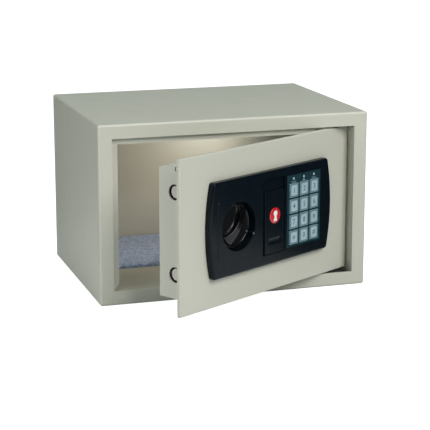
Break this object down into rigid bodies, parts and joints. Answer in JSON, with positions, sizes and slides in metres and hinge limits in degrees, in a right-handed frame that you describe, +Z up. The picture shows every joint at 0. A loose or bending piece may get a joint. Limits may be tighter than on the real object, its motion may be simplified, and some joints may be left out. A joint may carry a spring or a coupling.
{
  "type": "in-room safe",
  "caption": "Small sheet-steel room safe with a side-hinged front door, knob-driven round bolts and an electronic keypad panel.",
  "frame": {"origin": "middle of the underside of the steel body, on the surface it stands on", "axes": "+X to the right seen from the front, +Y into the safe from the door to the back wall, +Z up"},
  "size_m": [0.31, 0.3511, 0.2],
  "materials": {
    "safe_paint": "semi-matt powder coat, warm light grey-beige, faint orange peel",
    "mat_felt": "needle-punched blue-grey felt with light flecks",
    "black_steel": "black phosphated steel",
    "black_nylon": "black nylon bearing bush",
    "bright_steel": "turned bright steel",
    "zinc_steel": "zinc-plated pressed steel",
    "bolt_steel": "ground steel locking bolt",
    "knob_black": "satin black moulded plastic",
    "panel_black": "satin-gloss blue-black moulded plastic",
    "keypad_field": "dark teal printed film",
    "key_grey": "pale blue-grey moulded key with dark print",
    "mark_white": "white mark or lamp lens",
    "badge_red": "glossy red plastic",
    "brass": "turned brass",
    "chrome": "chromed zinc lock body",
    "solenoid_case": "blue taped coil in a steel frame",
    "board_green": "green circuit board",
    "cable_grey": "grey lead jacket",
    "black_plastic": "black moulded plastic",
    "battery_jacket": "plain dark battery jacket"
  },
  "bodies": {
    "safe_body": {"body_shell": "safe_paint", "back_panel": "safe_paint", "stop_frame": "safe_paint", "hinge_jamb": "safe_paint", "inner_floor": "safe_paint", "floor_mat": "mat_felt", "hinge_brackets": "black_steel", "hinge_bushes": "black_nylon"},
    "knob": {"knob": "knob_black", "knob_mark": "mark_white", "spindle": "bright_steel", "crank": "zinc_steel", "crank_clip": "bright_steel"},
    "bolt_work": {"bolt_carriage": "zinc_steel", "bolt_lower": "bolt_steel", "bolt_upper": "bolt_steel"},
    "plunger": {"solenoid_plunger": "bright_steel"},
    "override_lid": {"override_cover": "panel_black", "badge": "badge_red"},
    "override_core": {"override_plug": "brass", "override_cam": "zinc_steel"},
    "battery_lid": {"battery_cover": "black_plastic"},
    "reset": {"reset_button": "badge_red"},
    "key_1_cap": {"key_1": "key_grey"},
    "key_2_cap": {"key_2": "key_grey"},
    "key_3_cap": {"key_3": "key_grey"},
    "key_4_cap": {"key_4": "key_grey"},
    "key_5_cap": {"key_5": "key_grey"},
    "key_6_cap": {"key_6": "key_grey"},
    "key_7_cap": {"key_7": "key_grey"},
    "key_8_cap": {"key_8": "key_grey"},
    "key_9_cap": {"key_9": "key_grey"},
    "key_clear_cap": {"key_clear": "key_grey"},
    "key_0_cap": {"key_0": "key_grey"},
    "key_enter_cap": {"key_enter": "key_grey"},
    "door": {"door_plate": "safe_paint", "hinge_lugs": "safe_paint", "hinge_pins": "bright_steel", "hinge_spacer": "zinc_steel", "lock_cover": "safe_paint", "cover_mounts": "zinc_steel", "cover_screws": "zinc_steel", "spindle_bush": "brass", "bolt_guide": "zinc_steel", "carriage_guides": "zinc_steel", "solenoid": "solenoid_case", "plunger_spring": "bright_steel", "override_barrel": "chrome", "panel_housing": "panel_black", "panel_screws": "zinc_steel", "index_mark": "mark_white", "keypad_bezel": "keypad_field", "keypad_board": "board_green", "dome_switches": "bright_steel", "status_leds": "mark_white", "control_board": "board_green", "keypad_cable": "cable_grey", "battery_holder": "black_plastic", "batteries": "battery_jacket", "reset_switch": "black_plastic"}
  },
  "joints": [
    {"name": "door_hinge", "type": "hinge", "parent": "safe_body", "child": "door", "pos_m": [0.1095, -0.106, 0.1], "axis": [0, 0, 1], "range_deg": [-30, 65]},
    {"name": "knob_turn", "type": "hinge", "parent": "door", "child": "knob", "pos_m": [-0.02783, -0.19914, 0.1008], "axis": [0.5, -0.866, 0], "range_deg": [0, 90]},
    {"name": "bolt_slide", "type": "slide", "parent": "door", "child": "bolt_work", "axis": [-0.866, -0.5, 0], "range_m": [0, 0.018]},
    {"name": "solenoid_pin", "type": "slide", "parent": "door", "child": "plunger", "axis": [0, 0, 1], "range_m": [0, 0.0045], "stiffness_N_per_m": 60},
    {"name": "override_cover_lift", "type": "slide", "parent": "door", "child": "override_lid", "axis": [0.5, -0.866, 0], "range_m": [0, 0.03]},
    {"name": "override_key_turn", "type": "hinge", "parent": "door", "child": "override_core", "pos_m": [0.01953, -0.16256, 0.1008], "axis": [-0.5, 0.866, 0], "range_deg": [0, 90]},
    {"name": "battery_cover_lift", "type": "slide", "parent": "door", "child": "battery_lid", "axis": [-0.5, 0.866, 0], "range_m": [0, 0.025]},
    {"name": "reset_press", "type": "slide", "parent": "door", "child": "reset", "axis": [0.5, -0.866, 0], "range_m": [0, 0.001], "stiffness_N_per_m": 600},
    {"name": "key_1_press", "type": "slide", "parent": "door", "child": "key_1_cap", "axis": [-0.5, 0.866, 0], "range_m": [0, 0.0008], "stiffness_N_per_m": 800},
    {"name": "key_2_press", "type": "slide", "parent": "door", "child": "key_2_cap", "axis": [-0.5, 0.866, 0], "range_m": [0, 0.0008], "stiffness_N_per_m": 800},
    {"name": "key_3_press", "type": "slide", "parent": "door", "child": "key_3_cap", "axis": [-0.5, 0.866, 0], "range_m": [0, 0.0008], "stiffness_N_per_m": 800},
    {"name": "key_4_press", "type": "slide", "parent": "door", "child": "key_4_cap", "axis": [-0.5, 0.866, 0], "range_m": [0, 0.0008], "stiffness_N_per_m": 800},
    {"name": "key_5_press", "type": "slide", "parent": "door", "child": "key_5_cap", "axis": [-0.5, 0.866, 0], "range_m": [0, 0.0008], "stiffness_N_per_m": 800},
    {"name": "key_6_press", "type": "slide", "parent": "door", "child": "key_6_cap", "axis": [-0.5, 0.866, 0], "range_m": [0, 0.0008], "stiffness_N_per_m": 800},
    {"name": "key_7_press", "type": "slide", "parent": "door", "child": "key_7_cap", "axis": [-0.5, 0.866, 0], "range_m": [0, 0.0008], "stiffness_N_per_m": 800},
    {"name": "key_8_press", "type": "slide", "parent": "door", "child": "key_8_cap", "axis": [-0.5, 0.866, 0], "range_m": [0, 0.0008], "stiffness_N_per_m": 800},
    {"name": "key_9_press", "type": "slide", "parent": "door", "child": "key_9_cap", "axis": [-0.5, 0.866, 0], "range_m": [0, 0.0008], "stiffness_N_per_m": 800},
    {"name": "key_clear_press", "type": "slide", "parent": "door", "child": "key_clear_cap", "axis": [-0.5, 0.866, 0], "range_m": [0, 0.0008], "stiffness_N_per_m": 800},
    {"name": "key_0_press", "type": "slide", "parent": "door", "child": "key_0_cap", "axis": [-0.5, 0.866, 0], "range_m": [0, 0.0008], "stiffness_N_per_m": 800},
    {"name": "key_enter_press", "type": "slide", "parent": "door", "child": "key_enter_cap", "axis": [-0.5, 0.866, 0], "range_m": [0, 0.0008], "stiffness_N_per_m": 800}
  ],
  "couplings": [
    {"joint": "knob_turn", "follows": "bolt_slide", "rad_per_m": 87.266}
  ]
}
